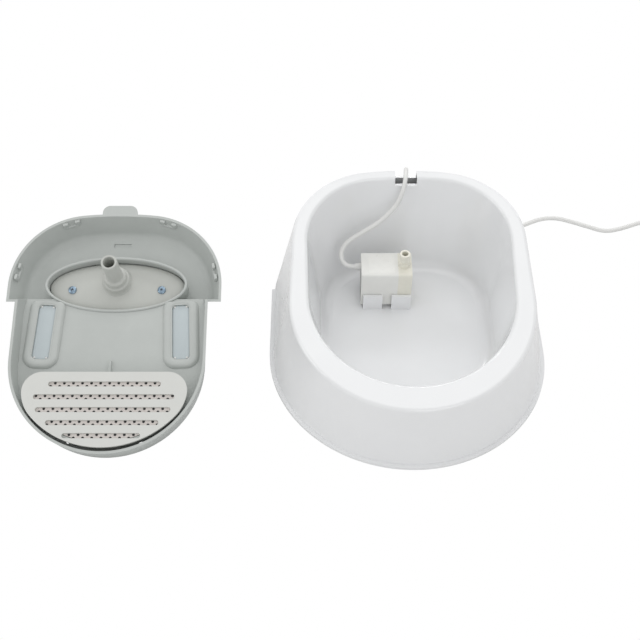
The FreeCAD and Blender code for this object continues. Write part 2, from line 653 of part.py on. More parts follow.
tail_x = "(coil_x + coil_radius)"
tail_z = "(plug_height / 2)"
plug_rear = "(coil_y - coil_radius - coil_width - relief_length)"
tail_points = [V(value(tail_x) + 1, value("coil_y") - 8, FLOOR), V(value(tail_x) + 2, value("coil_y") - 22, FLOOR),
               V(value(tail_x) + 2.5, value("coil_y") - 34, value(tail_z) - 1),
               V(value(tail_x) + 3, value(plug_rear + " + relief_length"), value(tail_z))]
plug_x = "(coil_x + coil_radius + 3)"
piece("plug_lead", lead("PlugLead", tail_points))
relief = bind(doc.addObject("Part::Cone", "PlugReliefCone"), Radius1="relief_radius",
              Radius2="cord_radius + 0.2 * relief_radius", Height="relief_length")
relief.Placement.Rotation = FreeCAD.Rotation(V(1, 0, 0), -90)
piece("plug_relief", put(relief, plug_x, plug_rear, tail_z))
plug_block = box("PlugBlock", plug_x + " - plug_width / 2", plug_rear + " - plug_length", 0, "plug_width",
                 "plug_length", "plug_height")
piece("plug_body", round_edges("PlugBody", plug_block, "0.3 * plug_height", along("y")))
pins = []
for side in (-1, 1):
    pins.append(box("PlugPin", "%s + %g * pin_pitch / 2 - pin_thick / 2" % (plug_x, side),
                    plug_rear + " - plug_length - pin_length", tail_z + " - pin_width / 2", "pin_thick",
                    "pin_length", "pin_width"))
piece("plug_pins", group("PlugPins", *pins))

# Cover, set out the right way up on its rim plane
REAR_OF_RING = "(hood_start + ring_half_width / 2)"
ring_corner = "(ring_half_width / 2)"


def ring_loft(name, inset, bottom, top):
    """The ring between two levels, its draft running in towards the pool rim."""
    sections = []
    for mark, level in (("Low", bottom), ("High", top)):
        slim = "ring_draft * (%s + ring_drop) / (pool_rim + ring_drop) - %s" % (level, inset)
        sections.append(plan(name + mark, "ring_half_width - " + slim, "ring_front - " + slim,
                             REAR_OF_RING + " - " + slim, ring_corner, level))
    return loft(name, *sections)


def hood_loft(name, inset, bottom, top):
    """The hood between two levels, its draft running in towards the roof."""
    sections = []
    for mark, level in (("Low", bottom), ("High", top)):
        slim = "hood_draft * (%s + hood_drop) / (hood_height + hood_drop) - %s" % (level, inset)
        sections.append(plan(name + mark, "hood_half_width - " + slim, "hood_half_width",
                             "hood_rear - " + slim, "hood_corner - " + slim, level))
    return loft(name, *sections)


def behind(name, start):
    """Big block whose front leans back over a line across the free edge of the hood."""
    block = bind(doc.addObject("Part::Box", name), Length=REACH, Width=REACH, Height=REACH)
    lean = -value("hood_lean")
    way = V(0, math.sin(math.radians(-lean)), math.cos(math.radians(lean)))
    corner = V(-REACH / 2, value(start), -value("hood_drop")) - way * (REACH / 2)
    return turn(block, V(1, 0, 0), lean, corner)


def rounded_hood(name, solid, height, radius):
    return round_edges(name, solid, radius, on_plane(V(0, 0, value(height)), V(0, 0, 1)))


pool = ring_loft("Pool", "cover_wall", "deck_level", "pool_rim + cover_wall")
ring = cut("Ring", ring_loft("RingOuter", "0", "-ring_drop", "pool_rim"), pool)
hood_block = rounded_hood("HoodRound", hood_loft("HoodBlock", "0", "-hood_drop", "hood_height"),
                          "hood_height", "hood_round")
hood = common("Hood", hood_block, behind("HoodFront", "hood_start"))
ring_room = ring_loft("RingRoom", "cover_wall", "-ring_drop - cover_wall", "deck_level - cover_wall")
hood_room = rounded_hood("HoodRoomRound",
                         hood_loft("HoodRoomBlock", "cover_wall", "-ring_drop - cover_wall",
                                   "hood_height - cover_wall"),
                         "hood_height - cover_wall", "hood_round - cover_wall")
hood_inside = common("HoodInside", hood_room, behind("HoodInsideFront", "hood_start + cover_wall"))

# The top dish stands level when the cover is on the sloping rim; its floor follows the rim plane
dish_place = FreeCAD.Placement(V(0, value("dish_centre"), value("dish_rise")),
                               FreeCAD.Rotation(V(1, 0, 0), -slope))
plate_high = "(riser_plate_level + riser_plate_thick)"
seat_low = "(deck_level - 1.25 * cover_wall)"
dish_floor = "(riser_plate_level + riser_plate_thick + gasket_thick + cover_wall)"


def dish_loft(name, inset, lift):
    low = oval(name + "Low", "dish_half_width - dish_flare - " + inset,
               "dish_half_depth - dish_flare - " + inset, "riser_centre", dish_floor)
    high = oval(name + "High", "dish_half_width - " + inset, "dish_half_depth - " + inset, 0, 0)
    high.Placement = dish_place.multiply(FreeCAD.Placement(V(0, 0, lift), FreeCAD.Rotation()))
    for place in ("x", "y", "z"):
        high.setExpression("Placement.Base." + place, None)
    return loft(name, low, high)


def riser_oval(name, grow, bottom, height):
    outline = oval(name + "Plan", "riser_plate_half_width + " + grow, "riser_plate_half_depth + " + grow,
                   "riser_centre", bottom)
    return extrude(name, outline, height)


def riser_rod(name, x, bottom, radius, length):
    middle = "riser_centre - screw_setback" if x else "riser_centre + riser_setback"
    return rod(name, "z", x, middle, bottom, radius, length)


SIDES = (("Left", "-1 * "), ("Right", "1 * "))
dish = dish_loft("Dish", "0", 0)
shell = cut("CoverShell", join("CoverOuter", ring, hood, dish), ring_room, hood_inside)
seat_block = riser_oval("RiserSeat", "riser_gap + riser_lip", seat_low, "hood_height - " + seat_low)
dish_room = dish_loft("DishRoom", "cover_wall", value("cover_wall"))
plate_recess = riser_oval("PlateRecess", "riser_gap", seat_low + " - cover_wall",
                          plate_high + " + gasket_thick + cover_wall - " + seat_low)
water_hole = riser_rod("WaterHole", 0, "riser_plate_level", "riser_bore", "hood_height")
pilots = [riser_rod("Pilot" + tag, mark + "screw_offset", "riser_plate_level", "screw_radius", "screw_length")
          for tag, mark in SIDES]


def window_block(name, mark, grow, low, high):
    """Block in the deck, its heights measured from the deck's underside."""
    side = value(mark + "1")
    block = bind(doc.addObject("Part::Box", name), Length="window_width + 2 * (%s)" % grow,
                 Width="window_length + 2 * (%s)" % grow, Height="%s - (%s)" % (high, low))
    facing = FreeCAD.Rotation(V(0, 0, 1), side * value("window_splay"))
    corner = V(-value("window_width / 2 + " + grow), -value("window_length / 2 + " + grow), value(low))
    middle = V(side * value("window_offset"), value("window_middle"), value("deck_level - cover_wall"))
    block.Placement = FreeCAD.Placement(middle + facing.multVec(corner), facing)
    return block


windows = {}
window_holes = []
window_frames = []
for tag, mark in SIDES:
    windows[tag] = window_block("Window" + tag, mark, "0", "-window_thick", "0")
    window_frames.append(window_block("Frame" + tag, mark, "window_frame", "-1.5 * window_thick",
                                      "cover_wall / 2"))
    window_holes.append(window_block("FrameRoom" + tag, mark, "0.1 * window_thick", "-2 * window_thick", "0"))
    window_holes.append(window_block("Hole" + tag, mark, "-window_thick / 2", "-2 * cover_wall",
                                     "2 * cover_wall"))

# Filter well under the front of the cover: a wall that follows the slotted plate
well_low = "(filter_plate_thick - filter_level)"


def filter_block(name, grow, bottom, top):
    return extrude(name, shield(name + "Plan", grow, bottom), "%s - (%s)" % (top, bottom))


def slot_row(name, bottom, height):
    """Five long slots that follow the outline of the filter."""
    slots = []
    for number, share in enumerate(SLOT_SHARES):
        middle = "-slot_first - %d * slot_pitch" % number
        reach = "filter_half_width * %g" % share
        bar = box(name + "Bar%d" % number, "-1 * (%s)" % reach, "%s - slot_height / 2" % middle, bottom,
                  "2 * " + reach, "slot_height", height)
        ends = [rod(name + "End%d%s" % (number, tag), "z", "%s(%s)" % (mark, reach), middle, bottom,
                    "slot_height / 2", height) for tag, mark in SIDES]
        slots.append(join(name + "Slot%d" % number, bar, *ends))
    return slots


SLOT_SHARES = (0.65, 0.82, 0.78, 0.645, 0.435)
filter_wall = cut("FilterWall",
                  filter_block("WellOuter", "-filter_ledge", well_low, "deck_level - cover_wall / 2"),
                  filter_block("WellInner", "-filter_ledge - cover_wall", "-filter_level",
                               "deck_level - cover_wall"))
drains = slot_row("Drain", "deck_level - 2 * cover_wall", "3 * cover_wall")
rib = box("DeckRib", "-cover_wall / 2", "-filter_rear", "deck_level - 2 * cover_wall", "cover_wall",
          "filter_rear / 2", "1.5 * cover_wall")
finger_tab = box("TabBlock", "-tab_width / 2", "hood_rear - cover_wall", "-hood_drop", "tab_width",
                 "tab_reach + cover_wall", "cover_wall")
tab = round_edges("FingerTab", finger_tab, "0.8 * tab_reach",
                  lambda edge: along("z")(edge) and edge.CenterOfMass.y > value("hood_rear"))
latch_recess = box("LatchRecess", "-tab_width / 4", "hood_rear - hood_draft - 1.4 * hood_round",
                   "hood_height - 1.5 * cover_wall", "tab_width / 2", "1.5 * cover_wall", "cover_wall")
cover_whole = join("CoverWhole", shell, filter_wall, rib, tab, seat_block, *window_frames)
top_cover = cut("TopCover", cover_whole, dish_room, plate_recess, water_hole, latch_recess,
                *(pilots + window_holes + drains))

# Riser parts
plate_block = riser_oval("RiserPlateBlock", "0", "riser_plate_level", "riser_plate_thick")
tube_low = "riser_plate_level - riser_length"
tube = riser_rod("RiserTube", 0, tube_low, "riser_radius", "riser_length + riser_plate_thick / 2")
tube_bore = riser_rod("RiserBore", 0, tube_low + " - riser_radius", "riser_bore", "2 * riser_length")
plate_holes = [riser_rod("PlateHole" + tag, mark + "screw_offset", "riser_plate_level - riser_lip",
                         "screw_radius", "2 * riser_plate_thick + riser_lip") for tag, mark in SIDES]
riser_plate = cut("RiserPlate", join("RiserWhole", plate_block, tube), tube_bore, *plate_holes)
collar = cut("RiserCollar",
             riser_rod("CollarBlock", 0, "riser_plate_level - collar_length", "collar_radius", "collar_length"),
             riser_rod("CollarBore", 0, tube_low, "riser_radius", "2 * riser_length"))
gasket_holes = [riser_rod("GasketHole" + tag, mark + "screw_offset", "riser_plate_level", "screw_radius",
                          "3 * riser_plate_thick") for tag, mark in SIDES]
gasket = cut("RiserGasket", riser_oval("GasketBlock", "0", plate_high, "gasket_thick"),
             riser_rod("GasketBore", 0, "riser_plate_level", "riser_bore", "3 * riser_plate_thick"),
             *gasket_holes)
screws = []
for tag, mark in SIDES:
    shank = riser_rod("Shank" + tag, mark + "screw_offset", "riser_plate_level", "screw_radius", "screw_length")
    head = riser_rod("Head" + tag, mark + "screw_offset", "riser_plate_level - screw_radius", "screw_head",
                     "screw_radius")
    screws.append(join("Screw" + tag, head, shank))
riser_screws = group("RiserScrews", *screws)

# Filter stack
filter_plate = cut("FilterPlate", filter_block("PlateBlock", "0", "-filter_level", well_low),
                   *slot_row("Plate", "-2 * filter_level", "2 * filter_level"))
inner_grow = "-filter_ledge - 1.25 * cover_wall"
screen_high = well_low + " + screen_thick"
screen_block = filter_block("ScreenBlock", inner_grow, well_low, screen_high)
screen_holes = []
for number, share in enumerate(SLOT_SHARES):
    count = int(value("2 * filter_half_width * %g" % share) / value("screen_pitch"))
    for place in range(count):
        shift = (place - (count - 1) / 2) * value("screen_pitch")
        screen_holes.append(rod("ScreenHole", "z", shift, "-slot_first - %d * slot_pitch" % number,
                                "-filter_level", "screen_hole", "filter_level"))
filter_screen = cut("FilterScreen", screen_block, *screen_holes)
filter_pad = filter_block("FilterPad", inner_grow, screen_high, screen_high + " + media_thick")

# The cover lies upside down on its dish and its front edge
dish_lip = dish_place.multVec(V(0, -value("dish_half_depth"), 0))
nose = V(0, -value("ring_front - ring_draft"), value("pool_rim"))
tilt = math.atan2(dish_lip.z - nose.z, dish_lip.y - nose.y)
flipped = FreeCAD.Rotation(V(0, 1, 0), 180)
tipped = FreeCAD.Rotation(V(1, 0, 0), math.degrees(tilt)).multiply(flipped)
landing = tipped.multVec(nose)
lying = FreeCAD.Placement(V(-value("cover_apart"), -value("cover_front") - landing.y, -landing.z), tipped)
piece("top_cover", top_cover, lying)
piece("window_left", windows["Left"], lying.multiply(windows["Left"].Placement))
piece("window_right", windows["Right"], lying.multiply(windows["Right"].Placement))
piece("riser_plate", riser_plate, lying)
piece("riser_collar", collar, lying)
piece("riser_gasket", gasket, lying)
piece("riser_screws", riser_screws, lying)
piece("filter_plate", filter_plate, lying)
piece("filter_screen", filter_screen, lying)
piece("filter_pad", filter_pad, lying)

doc.recompute()
for obj in doc.Objects:
    if set(obj.State) & {"Invalid", "Error"}:
        raise SystemExit("%s: %s" % (obj.Name, obj.State))
for label, obj in nodes.items():
    if obj.Shape.isNull() or not obj.Shape.isValid():
        raise SystemExit(label + " has no valid shape")

os.makedirs("parts", exist_ok=True)
for label, obj in nodes.items():
    obj.Shape.exportStep("parts/%s.step" % label)
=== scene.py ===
"""Pet water fountain, opened for cleaning: bowl with its pump and lead, and the cover beside it."""
import math

import bmesh
import bpy
from mathutils import Matrix, Vector


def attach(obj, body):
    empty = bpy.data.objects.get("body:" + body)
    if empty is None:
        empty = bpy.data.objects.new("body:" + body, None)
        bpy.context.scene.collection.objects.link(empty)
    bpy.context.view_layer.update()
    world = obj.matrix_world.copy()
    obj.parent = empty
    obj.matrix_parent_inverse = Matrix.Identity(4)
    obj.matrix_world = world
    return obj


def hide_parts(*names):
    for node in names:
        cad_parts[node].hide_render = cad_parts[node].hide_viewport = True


bl_info = {
    "name": "Pet water fountain",
    "version": (1, 0, 0),
    "blender": (4, 5, 0),
    "location": "View3D > Sidebar > Fountain",
    "description": "Builds the visible pieces and finishes of a pet water fountain",
    "category": "Object",
}

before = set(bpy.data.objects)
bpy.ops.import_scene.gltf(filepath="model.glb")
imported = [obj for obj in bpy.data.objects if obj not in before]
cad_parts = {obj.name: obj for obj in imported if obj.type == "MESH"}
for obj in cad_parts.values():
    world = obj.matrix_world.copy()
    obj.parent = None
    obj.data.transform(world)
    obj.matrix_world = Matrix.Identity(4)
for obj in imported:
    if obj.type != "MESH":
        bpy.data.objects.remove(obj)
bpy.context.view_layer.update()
MM = 0.001

# How the cover lies: its rim plane turned over, tipped onto its dish and its front edge
COVER_TIP = math.radians(18.576906)
COVER_REST = Vector((-248.0, -35.3799, 41.795)) * MM
LYING = (Matrix.Translation(COVER_REST) @ Matrix.Rotation(COVER_TIP, 4, "X")
         @ Matrix.Rotation(math.pi, 4, "Y"))

# Lead, control points in millimetres from the pump's gland to the coil
LEAD_ROUTE = (
    (-44, 52, 40.2), (-50, 52, 40.2), (-56, 56, 43), (-56.5, 65, 47.5), (-50, 72, 52), (-38, 77, 57.5),
    (-25, 82, 63), (-14, 87, 71), (-6.5, 91, 80), (-2.5, 95, 90.5), (-0.5, 103, 97), (0.5, 115, 97),
    (1.5, 124.5, 89.5), (2.5, 129.5, 70), (3.5, 134, 47), (6, 139, 26), (13, 145, 9), (28, 150, 2), (48, 149, 2),
    (69, 141, 2), (90, 133.5, 2), (108, 135, 2), (124, 143.5, 2), (138, 150.5, 2), (153, 152, 2),
    (168, 146.5, 2), (184, 139, 2), (198, 133, 2), (214, 137, 2), (232, 145, 2), (250, 149.5, 2),
)
LEAD_TAIL = ((305.3, 112, 5.9), (304.8, 104, 4.2), (304, 96, 4.2), (304, 89, 5.8), (304, 85, 6))

# Coil: a lower layer that winds in, a climb, and an upper layer that winds out, in millimetres
COIL_MIDDLE = Vector((277, 122, 0))
COIL_OUTER = 28.4
COIL_INNER = 19.6
COIL_LOWER = 2.0
COIL_CLIMB = 4.35
COIL_START = math.radians(100)
COIL_STEPS = 14
INNER_TURNS = 3
CLIMB_TURNS = 0.5
OUTER_TURNS = 6 + 100 / 360 - INNER_TURNS - CLIMB_TURNS

# Filter, in the cover's own plane, in millimetres
SHEET_LOW = -9.3
SHEET_THICK = 1
SHIELD_COUNT = 100


def linear(code):
    """A hex sRGB colour as linear light."""
    parts = [int(code[place:place + 2], 16) / 255 for place in (1, 3, 5)]
    return [part / 12.92 if part <= 0.04045 else ((part + 0.055) / 1.055) ** 2.4 for part in parts]


def colour_property(name, description, code):
    return bpy.props.FloatVectorProperty(name=name, description=description, subtype="COLOR", size=3,
                                         min=0, max=1, default=linear(code))


def length_property(name, description, millimetres):
    return bpy.props.FloatProperty(name=name, description=description, unit="LENGTH", precision=5,
                                   default=millimetres * MM)


class FountainSizes(bpy.types.PropertyGroup):
    lead_thickness: length_property("Lead", "Thickness of the round lead", 4)
    lead_length: length_property("Lead length", "Length of the lead from the pump to the plug", 1450)
    window_half_width: length_property("Window width", "Half width of each level window", 7.2)
    window_half_length: length_property("Window length", "Half length of each level window", 24.2)
    dome_height: length_property("Riser dome", "Crown of the riser plate", 2.6)
    bead_round: length_property("Seat bead", "Radius of the bead round the riser plate", 1.3)


class FountainColours(bpy.types.PropertyGroup):
    bowl: colour_property("Bowl", "Gloss white moulding", "#EEEFF0")
    cover: colour_property("Cover", "Grey-green moulding", "#BCC0BD")
    riser: colour_property("Riser", "Riser plate and tube", "#BFC1BC")
    window: colour_property("Windows", "Frosted level windows", "#C3CDD0")
    filter_plate: colour_property("Filter plate", "Slotted plate over the filter", "#D4D5D1")
    screen: colour_property("Screen", "Perforated sheet behind the slots", "#DCD6D2")
    pump: colour_property("Pump", "Pump housing", "#E8E8E4")
    impeller_cover: colour_property("Impeller cover", "Slightly yellowed impeller cover", "#E6E4D8")
    lead: colour_property("Lead", "White lead and plug", "#E4E4E2")


def sizes():
    return bpy.context.scene.fountain_sizes


def colours():
    return bpy.context.scene.fountain_colours


# Finishes
def add(tree, kind, fixed=None, **feeds):
    """Add a shader node; each feed is a value for a socket, or the socket that drives it."""
    made = tree.nodes.new(kind)
    for name, setting in (fixed or {}).items():
        setattr(made, name, setting)
    for name, feed in feeds.items():
        socket = made.inputs[name.replace("_", " ")]
        if isinstance(feed, bpy.types.NodeSocket):
            tree.links.new(feed, socket)
        else:
            socket.default_value = feed
    return made


def ramp(tree, factor, *stops):
    """Colour ramp with stops of (place, colour)."""
    made = add(tree, "ShaderNodeValToRGB", Fac=factor)
    elements = made.color_ramp.elements
    while len(elements) < len(stops):
        elements.new(0.5)
    for element, (place, colour) in zip(elements, stops):
        element.position = place
        element.color = (*colour, 1)
    return made.outputs["Color"]


def shade(colour, factor):
    return [min(1, part * factor) for part in colour]


def moulded(name, colour, roughness=0.4, mottle=0.03, mottle_size=18, grain=0.35, depth=0.01, wear=0.06,
            finish_sockets=None):
    """Moulded plastic or metal: a faint mottle, uneven gloss and a fine surface grain."""
    material = bpy.data.materials.new(name)
    material.use_nodes = True
    tree = material.node_tree
    tree.nodes.clear()
    place = add(tree, "ShaderNodeTexCoord").outputs["Object"]
    cloud = add(tree, "ShaderNodeTexNoise", Vector=place, Scale=1 / (mottle_size * MM), Detail=4, Roughness=0.6)
    tint = ramp(tree, cloud.outputs[0], (0.3, shade(colour, 1 - mottle)), (0.7, shade(colour, 1 + mottle)))
    patch = add(tree, "ShaderNodeTexNoise", Vector=place, Scale=1 / (6 * MM), Detail=3, Roughness=0.7)
    gloss = add(tree, "ShaderNodeMapRange", Value=patch.outputs[0], From_Min=0.3, From_Max=0.7,
                To_Min=roughness - wear / 2, To_Max=roughness + wear / 2)
    skin_grain = add(tree, "ShaderNodeTexNoise", Vector=place, Scale=1 / (grain * MM), Detail=2)
    bump = add(tree, "ShaderNodeBump", Height=skin_grain.outputs[0], Distance=depth * MM, Strength=1.0)
    shader = add(tree, "ShaderNodeBsdfPrincipled", Base_Color=tint, Roughness=gloss.outputs[0],
                 Normal=bump.outputs[0])
    for socket, setting in (finish_sockets or {}).items():
        shader.inputs[socket].default_value = setting
    output = add(tree, "ShaderNodeOutputMaterial")
    tree.links.new(shader.outputs[0], output.inputs["Surface"])
    return material


def links_of(material):
    """The tree of a moulded finish, its shader and the surface's place."""
    tree = material.node_tree
    shader = next(entry for entry in tree.nodes if entry.type == "BSDF_PRINCIPLED")
    place = next(entry for entry in tree.nodes if entry.type == "TEX_COORD").outputs["Object"]
    return tree, shader, place


def banded(name, light, dark, pitch, axis, roughness, metallic, depth=0.05):
    """Stacked sheets or wound wire: fine bands along one axis."""
    material = moulded(name, light, roughness, finish_sockets={"Metallic": metallic})
    tree, shader, place = links_of(material)
    bands = add(tree, "ShaderNodeTexWave", {"bands_direction": axis}, Vector=place,
                Scale=0.314 / (pitch * MM), Distortion=0.4, Detail=1.0)
    tree.links.new(ramp(tree, bands.outputs["Fac"], (0.25, dark), (0.6, light)), shader.inputs["Base Color"])
    bump = add(tree, "ShaderNodeBump", Height=bands.outputs["Fac"], Distance=depth * MM, Strength=1.0)
    tree.links.new(bump.outputs[0], shader.inputs["Normal"])
    return material


def pored(name, light, dark, pore, depth, roughness=0.9):
    """Open foam: small dark pores, the foam's own dark grey deepened with painted shade in the open cells."""
    material = moulded(name, light, roughness)
    tree, shader, place = links_of(material)
    cells = add(tree, "ShaderNodeTexVoronoi", Vector=place, Scale=1 / (pore * MM))
    # Pores: near-black painted shade in the cells, over the foam's own grey.
    tree.links.new(ramp(tree, cells.outputs["Distance"], (0.15, dark), (0.55, light)),
                   shader.inputs["Base Color"])
    bump = add(tree, "ShaderNodeBump", Height=cells.outputs["Distance"], Distance=depth * MM, Strength=1.0)
    tree.links.new(bump.outputs[0], shader.inputs["Normal"])
    return material


def perforated(name, colour, hole, pitch_x, pitch_y, slot_start):
    """Sheet with staggered round holes set out in the cover's own plane; the holes are painted as near-black
    dots, painted shade for the dark pad seen through them.
    """
    material = moulded(name, colour, 0.55, grain=0.2)
    tree, shader, place = links_of(material)
    flat = add(tree, "ShaderNodeMapping", {"vector_type": "TEXTURE"}, Vector=place, Location=COVER_REST,
               Rotation=(-COVER_TIP, math.pi, 0), Scale=(MM, MM, MM))
    spread = add(tree, "ShaderNodeSeparateXYZ", Vector=flat.outputs[0])

    def maths(operation, *feeds):
        made = add(tree, "ShaderNodeMath", {"operation": operation})
        for place, feed in enumerate(feeds):
            if isinstance(feed, bpy.types.NodeSocket):
                tree.links.new(feed, made.inputs[place])
            else:
                made.inputs[place].default_value = feed
        return made.outputs[0]

    row = maths("DIVIDE", maths("ADD", spread.outputs["Y"], slot_start), pitch_y)
    odd = maths("MULTIPLY", maths("MODULO", maths("ABSOLUTE", maths("FLOOR", row)), 2), 0.5)
    column = maths("ADD", maths("DIVIDE", spread.outputs["X"], pitch_x), odd)
    across = maths("MULTIPLY", maths("SUBTRACT", maths("FRACT", column), 0.5), pitch_x)
    along = maths("MULTIPLY", maths("SUBTRACT", maths("FRACT", row), 0.5), pitch_y)
    away = maths("SQRT", maths("ADD", maths("MULTIPLY", across, across), maths("MULTIPLY", along, along)))
    edge = add(tree, "ShaderNodeMapRange", Value=away, From_Min=hole - 0.15, From_Max=hole + 0.15,
               To_Min=0, To_Max=1)
    # Painted shade: each hole is coloured near-black, darker than the pad behind it, instead of being cut.
    tree.links.new(ramp(tree, edge.outputs[0], (0.0, (0.012, 0.012, 0.013)), (1.0, colour)),
                   shader.inputs["Base Color"])
    bump = add(tree, "ShaderNodeBump", Height=edge.outputs[0], Distance=0.4 * MM, Strength=1.0)
    tree.links.new(bump.outputs[0], shader.inputs["Normal"])
    return material


# Mesh helpers
def piece(name, bm, material, body, slot, *replaced, sharp=40):
    """Turn a finished bmesh into an object that rides on a body."""
    bmesh.ops.remove_doubles(bm, verts=bm.verts, dist=0.01 * MM)
    bmesh.ops.recalc_face_normals(bm, faces=bm.faces)
    for face in bm.faces:
        face.smooth = True
    for edge in bm.edges:
        if len(edge.link_faces) == 2 and edge.calc_face_angle() > math.radians(sharp):
            edge.smooth = False
    mesh = bpy.data.meshes.new(name)
    bm.to_mesh(mesh)
    bm.free()
    made = bpy.data.objects.new(name, mesh)
    bpy.context.collection.objects.link(made)
    made.data.materials.append(material)
    return settle(made, body, slot, *replaced)


def settle(made, body, slot, *replaced):
    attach(made, body)
    if replaced:
        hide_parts(*replaced)
    return made


def skin(bm, count, sections, cap_first=False, cap_last=False):
    """Grow a skin from one closed loop to the next; each section places a numbered spot."""
    spot = bm.verts.layers.int.get("spot") or bm.verts.layers.int.new("spot")
    loop = bmesh.ops.create_circle(bm, segments=count, radius=MM)["verts"]
    for number, vert in enumerate(loop):
        vert[spot] = number
    edges = list({edge for vert in loop for edge in vert.link_edges})
    for number, section in enumerate(sections):
        if number:
            grown = bmesh.ops.extrude_edge_only(bm, edges=edges)["geom"]
            loop = [item for item in grown if isinstance(item, bmesh.types.BMVert)]
            members = set(loop)
            edges = [item for item in grown if isinstance(item, bmesh.types.BMEdge)
                     and members.issuperset(item.verts)]
        for vert in loop:
            vert.co = section(vert[spot])
        if (number == 0 and cap_first) or (number == len(sections) - 1 and cap_last):
            bmesh.ops.edgeloop_fill(bm, edges=edges)


def oval_at(place, count, half_width, half_depth, middle, level):
    """Section: an oval on the cover, in millimetres."""
    def section(number):
        angle = 2 * math.pi * number / count
        return place @ (Vector((half_width * math.cos(angle), middle + half_depth * math.sin(angle), level)) * MM)
    return section


def rounded_at(place, count, half_width, half_length, corner, level, rear_stop=None):
    """Section: a rounded rectangle, in millimetres."""
    quarter = count // 4

    def section(number):
        turn, step = divmod(number, quarter)
        angle = math.pi / 2 * (turn + step / (quarter - 1))
        x = (half_width - corner) * (1 if turn in (0, 3) else -1) + corner * math.cos(angle)
        y = (half_length - corner) * (1 if turn in (0, 1) else -1) + corner * math.sin(angle)
        if rear_stop is not None:
            y = min(y, rear_stop)
        return place @ (Vector((x, y, level)) * MM)
    return section


def shield_at(place, grow, level):
    """Section: the outline of the filter's sheet and pad, in millimetres."""
    half, front, rear = 61.75 + grow, 86.75 + grow, -33.75 + grow
    bow, side, corner = 78, 33, 16
    side_y = bow - front - math.sqrt((bow - side) ** 2 - (half - side) ** 2)
    swing = math.atan2(bow - front - side_y, half - side)
    lean = math.asin((rear - corner - side_y) / (side - corner))
    corner_x = half - side + (side - corner) * math.cos(lean)
    arcs = (
        (0, bow - front, bow, math.pi + swing, 2 * math.pi - swing),
        (half - side, side_y, side, -swing, lean),
        (corner_x, rear - corner, corner, lean, math.pi / 2),
        (-corner_x, rear - corner, corner, math.pi / 2, math.pi - lean),
        (side - half, side_y, side, math.pi - lean, math.pi + swing),
    )
    share = SHIELD_COUNT // len(arcs)

    def section(number):
        arc, step = divmod(number, share)
        x, y, radius, start, end = arcs[arc]
        angle = start + (end - start) * (step + 0.5) / share
        return place @ (Vector((x + radius * math.cos(angle), y + radius * math.sin(angle), level)) * MM)
    return section


def block(bm, place, size, round_edge, segments=3):
    """Bevelled block, its size in millimetres, centred on a place."""
    made = bmesh.ops.create_cube(bm, size=1)["verts"]
    bmesh.ops.transform(bm, matrix=place @ Matrix.Diagonal((*(Vector(size) * MM), 1)), verts=made)
    edges = list({edge for vert in made for edge in vert.link_edges})
    bmesh.ops.bevel(bm, geom=edges, offset=round_edge * MM, affect="EDGES", segments=segments, profile=0.5,
                    material=-1)


